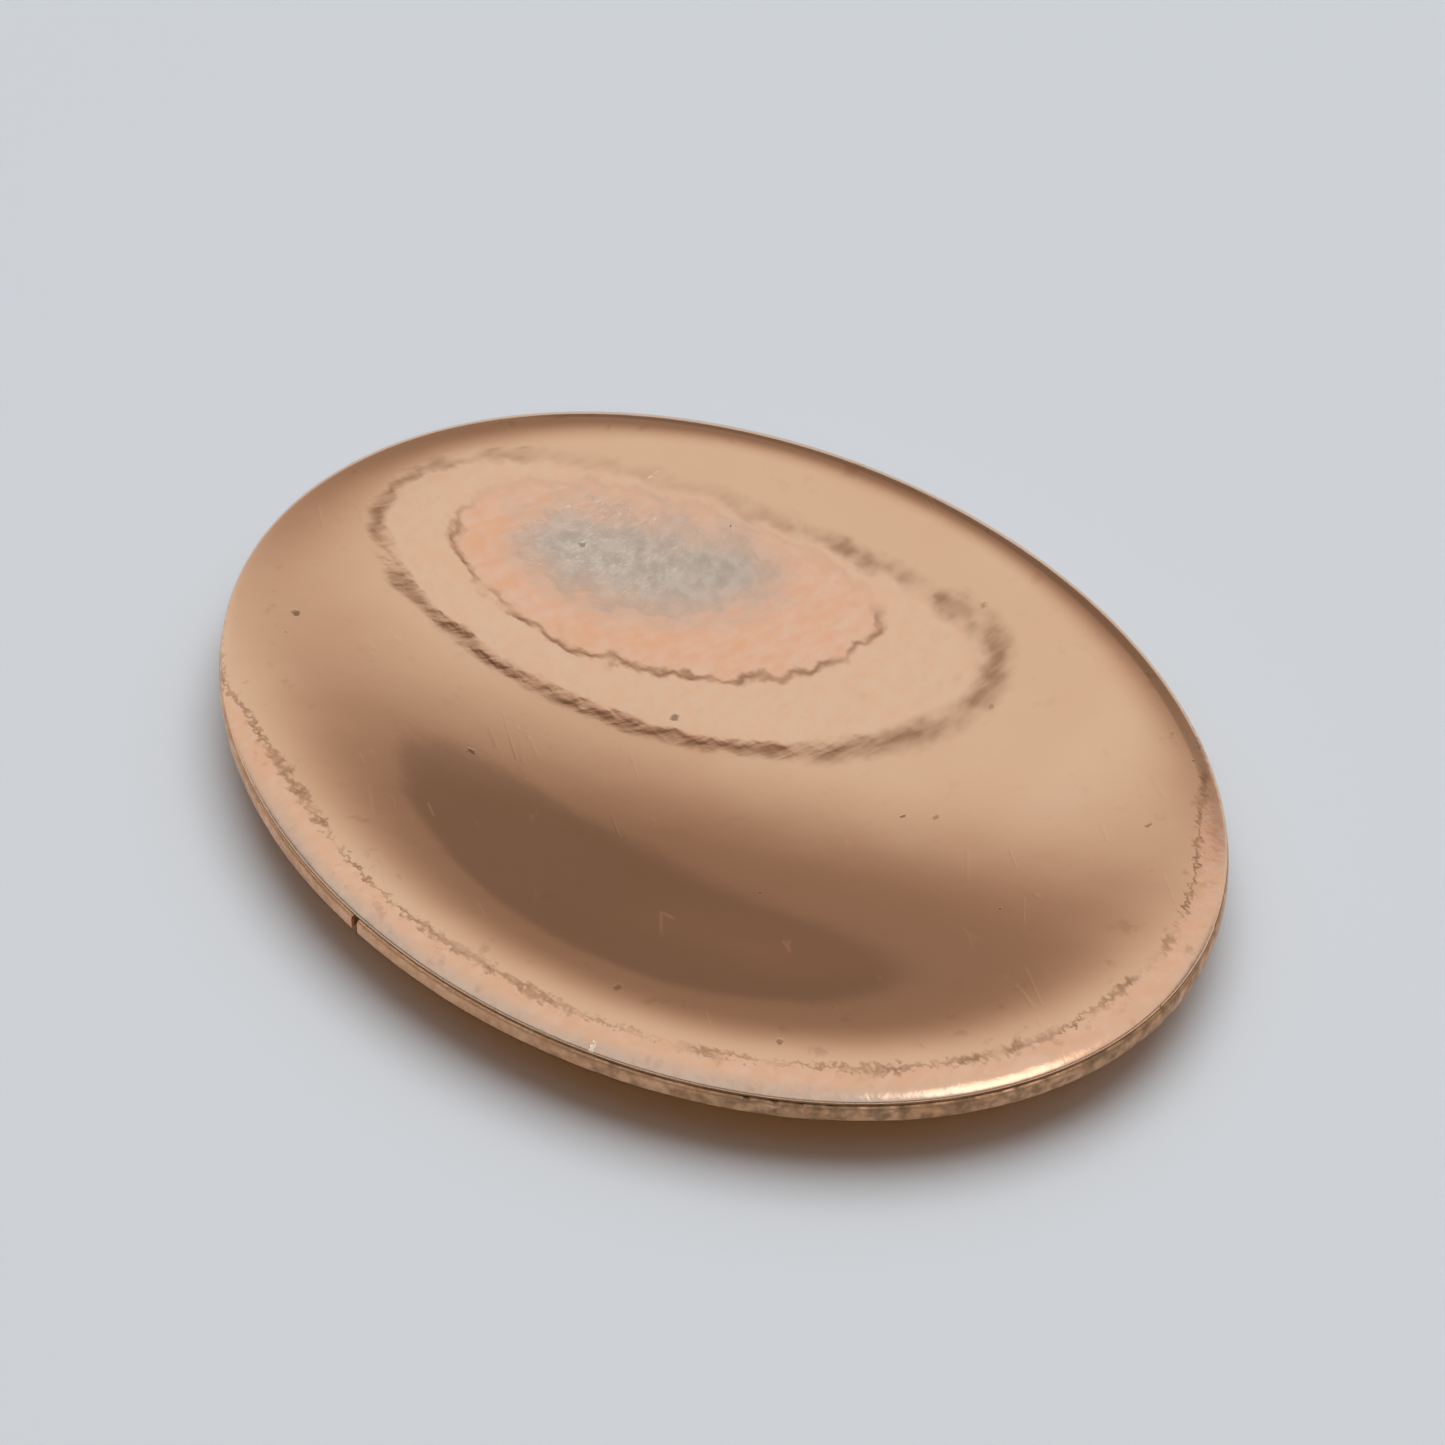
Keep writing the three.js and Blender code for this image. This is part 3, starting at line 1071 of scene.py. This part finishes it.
@dataclass
class JointSolder:
    """The solder that fills the gap between the wire's two ends."""

    form: TrayForm
    inset: float = 0.25 * MM

    def build(self) -> bpy.types.Object:
        """Builds the filling and returns it."""
        form = self.form
        radius = form.mean_radius
        inner = form.wire_inner * radius + self.inset
        outer = form.wire_outer * radius - self.inset / 2
        bpy.ops.mesh.primitive_cube_add(size=1.0)
        obj = bpy.context.object
        obj.name = "wire_joint_solder_fine"
        obj.scale = (outer - inner, form.joint_gap * radius, form.wire_height - self.inset)
        obj.location = ((inner + outer) / 2, 0, -form.wire_height / 2)
        settle(obj)
        edit(obj)
        bpy.ops.mesh.bevel(offset=0.08 * MM, segments=2, affect="EDGES")
        bpy.ops.mesh.select_all(action="SELECT")
        bpy.ops.mesh.subdivide(number_cuts=3)
        bpy.ops.mesh.select_all(action="SELECT")
        bpy.ops.transform.rotate(value=-form.joint_at, orient_axis="Z", center_override=(0, 0, 0))
        done()
        self.fill_gap(obj)
        return obj

    def fill_gap(self, obj: bpy.types.Object) -> None:
        """Carries the filling onto the oval and up under the lip."""
        form = self.form
        block = coordinates(obj)
        rho, x, y = form.place(block[:, 0] / form.mean_radius, block[:, 1] / form.mean_radius)
        set_coordinates(obj, np.stack([x, y, form.under(rho) - form.solder + block[:, 2]], axis=1))

    def dress(self, obj: bpy.types.Object, tarnish_and_edge_shade: bpy.types.Material) -> None:
        """Gives the filling the solder's finish."""
        obj.data.materials.append(tarnish_and_edge_shade)
        finish_piece(obj, "wire_joint_solder")


# ---------------------------------------------------------------------------------------------------------
# Studio
# ---------------------------------------------------------------------------------------------------------


@dataclass(frozen=True)
class Softbox:
    """A soft round light: half the angle it covers and where it hangs, in degrees, its watts and its tint."""

    spread: float
    power: float
    azimuth: float
    elevation: float
    tint: tuple[float, float, float]


@dataclass
class Studio:
    """A pale table under soft light, with the darker side of the room behind the tray."""

    form: TrayForm
    azimuth: float = math.radians(41.5)
    elevation: float = math.radians(45)
    distance: float = 430.8 * MM
    lens: float = 100.0
    sensor: float = 24.0
    look_x: float = -0.57 * MM
    look_y: float = 1.35 * MM
    table: Colour = (0.76, 0.795, 0.835, 1)
    softbox_height: float = 2.0
    softboxes: tuple[Softbox, ...] = (
        Softbox(25.0, 29.0, 30.0, 79.0, (0.895, 0.957, 0.99)),
        Softbox(50.0, 26.5, 30.0, 79.0, (0.895, 0.957, 0.99)),
        Softbox(7.0, 5.2, 180.0, 45.0, (1.0, 0.41, 0.1)),
    )
    room_bright: float = 0.71
    room_dark: float = 0.235
    room_warmth: float = 0.2
    dark_core: float = math.radians(14)
    dark_edge: float = math.radians(50)
    dark_steps: int = 8

    def build(self) -> None:
        """Makes the table, the light and the camera."""
        self.lay_table()
        self.light_room()
        self.set_camera()

    def lay_table(self) -> None:
        """Makes the table top."""
        deselect_all()
        bpy.ops.mesh.primitive_plane_add(size=6.0, location=(0, 0, -0.02 * MM))
        table = bpy.context.object
        table.name = "table_top"
        settle(table)
        material, s = new_material("pale_table")
        surface = s.add("ShaderNodeBsdfPrincipled", {"Base Color": self.table, "Roughness": 0.6})
        surface.inputs["Specular IOR Level"].default_value = 0.25
        s.add("ShaderNodeOutputMaterial", {"Surface": surface.outputs[0]})
        table.data.materials.append(material)

    def toward(self, azimuth: float, elevation: float) -> Vector:
        """A direction as the camera has it.

        Args:
            azimuth: degrees to the right of straight away from the camera.
            elevation: degrees above the table.

        Returns:
            The unit direction in the tray's frame.
        """
        turn, climb = self.azimuth - math.radians(azimuth), math.radians(elevation)
        flat = math.cos(climb)
        return Vector((-math.sin(turn) * flat, math.cos(turn) * flat, math.sin(climb)))

    def light_room(self) -> None:
        """Makes the room: bright above, dim low down, and dark in the distance behind the tray."""
        world = bpy.data.worlds.new("soft_room")
        bpy.context.scene.world = world
        world.use_nodes = True
        s = Shader(world.node_tree)
        direction = s.add("ShaderNodeTexCoord").outputs["Generated"]
        facing = self.along(s, direction, self.toward(6, 10))
        shade = s.add("ShaderNodeValToRGB", {"Fac": s.math("MULTIPLY_ADD", facing, 0.5, 0.5)})
        shade.color_ramp.interpolation = "B_SPLINE"
        elements = shade.color_ramp.elements
        for number in range(self.dark_steps + 1):
            out = 1 - number / self.dark_steps
            at = (1 + math.cos(self.dark_core + (self.dark_edge - self.dark_core) * out)) / 2
            eased = out * out * (3 - 2 * out)
            level = self.room_dark + (self.room_bright - self.room_dark) * eased
            warmth = self.room_warmth * (1 - eased)
            element = elements[number] if number < len(elements) else elements.new(at)
            element.position = at
            element.color = (level * (1 + warmth), level * (1 - warmth * 0.3), level * (1 - warmth), 1)
        away = self.along(s, direction, self.toward(0, 0))
        side = self.along(s, direction, self.toward(90, 0))
        up = self.along(s, direction, Vector((0, 0, 1)))
        low = s.math("MULTIPLY", s.ramp(away, 0.55, 0.2), s.ramp(up, 0.62, 0.2))
        panel_top = s.math("MULTIPLY_ADD", side, 0.789, s.math("MULTIPLY", away, 0.209))
        panel = s.math("MULTIPLY", s.ramp(s.math("SUBTRACT", panel_top, up), -0.012, 0.012),
                       s.ramp(s.math("MULTIPLY_ADD", away, 0.06, side), -0.012, 0.012))
        panel = s.math("MULTIPLY", panel, s.ramp(away, 0.6, 0.7))
        level = s.math("MULTIPLY", s.math("MULTIPLY_ADD", low, -0.7, 1.0), s.math("MULTIPLY_ADD", panel, -0.3, 1.0))
        lamp = self.along(s, direction, self.toward(132, 62))
        glow = s.ramp(lamp, math.cos(math.radians(18)), math.cos(math.radians(10)), 0.0, 1.7)
        background = s.add("ShaderNodeBackground", {"Color": shade.outputs["Color"], "Strength": s.math("ADD", level, glow)})
        s.add("ShaderNodeOutputWorld", {"Surface": background.outputs[0]})
        world.cycles_visibility.diffuse = False
        for softbox in self.softboxes:
            self.hang(softbox)

    def along(self, s: Shader, direction, axis: Vector) -> bpy.types.NodeSocket:
        """Returns how far a direction points along an axis."""
        node = s.add("ShaderNodeVectorMath", {0: direction, 1: tuple(axis)}, operation="DOT_PRODUCT")
        return node.outputs["Value"]

    def hang(self, softbox: Softbox) -> None:
        """Hangs a soft light over the table, where only matt surfaces take its light."""
        data = bpy.data.lights.new("softbox", "AREA")
        data.shape = "DISK"
        data.size = 2 * self.softbox_height * math.tan(math.radians(softbox.spread))
        data.energy = softbox.power
        data.color = softbox.tint
        lamp = bpy.data.objects.new("softbox", data)
        bpy.context.scene.collection.objects.link(lamp)
        aim = self.toward(softbox.azimuth, softbox.elevation)
        lamp.location = aim * self.softbox_height
        lamp.rotation_mode = "QUATERNION"
        lamp.rotation_quaternion = aim.to_track_quat("Z", "Y")
        lamp.visible_glossy = False
        lamp.visible_camera = False

    def set_camera(self) -> None:
        """Makes the camera."""
        look = Vector((self.look_x, self.look_y, float(self.form.top(np.float64(1.0)))))
        back = Vector((
            math.sin(self.azimuth) * math.cos(self.elevation),
            -math.cos(self.azimuth) * math.cos(self.elevation),
            math.sin(self.elevation),
        ))
        data = bpy.data.cameras.new("camera")
        data.lens = self.lens
        data.sensor_width = self.sensor
        data.clip_start = 0.01
        data.clip_end = 20
        camera = bpy.data.objects.new("camera", data)
        bpy.context.scene.collection.objects.link(camera)
        camera.location = look + back * self.distance
        camera.rotation_mode = "QUATERNION"
        camera.rotation_quaternion = (-back).to_track_quat("-Z", "Y")
        bpy.context.scene.camera = camera
        bpy.context.scene.view_settings.view_transform = "Standard"


def main() -> None:
    """Builds the tray and its studio, and reports each piece."""
    logging.basicConfig(level=logging.INFO, format="%(name)s: %(message)s")
    low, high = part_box("dish_sheet")
    form = TrayForm(half_length=(high.x - low.x) / 2, half_width=(high.y - low.y) / 2)
    deselect_all()
    groups = EffectGroups()
    tarnish_and_edge_shade = SolderFinish().build(groups)
    sheet = DishSheet(form, WearMap())
    sheet.dress(sheet.build(), groups, tarnish_and_edge_shade)
    wire = RimWire(form)
    wire.dress(wire.build(), groups)
    solder = RimSolder(form)
    solder.dress(solder.build(), tarnish_and_edge_shade)
    joint = JointSolder(form)
    joint.dress(joint.build(), tarnish_and_edge_shade)
    Studio(form).build()


if __name__ == "__main__":
    main()
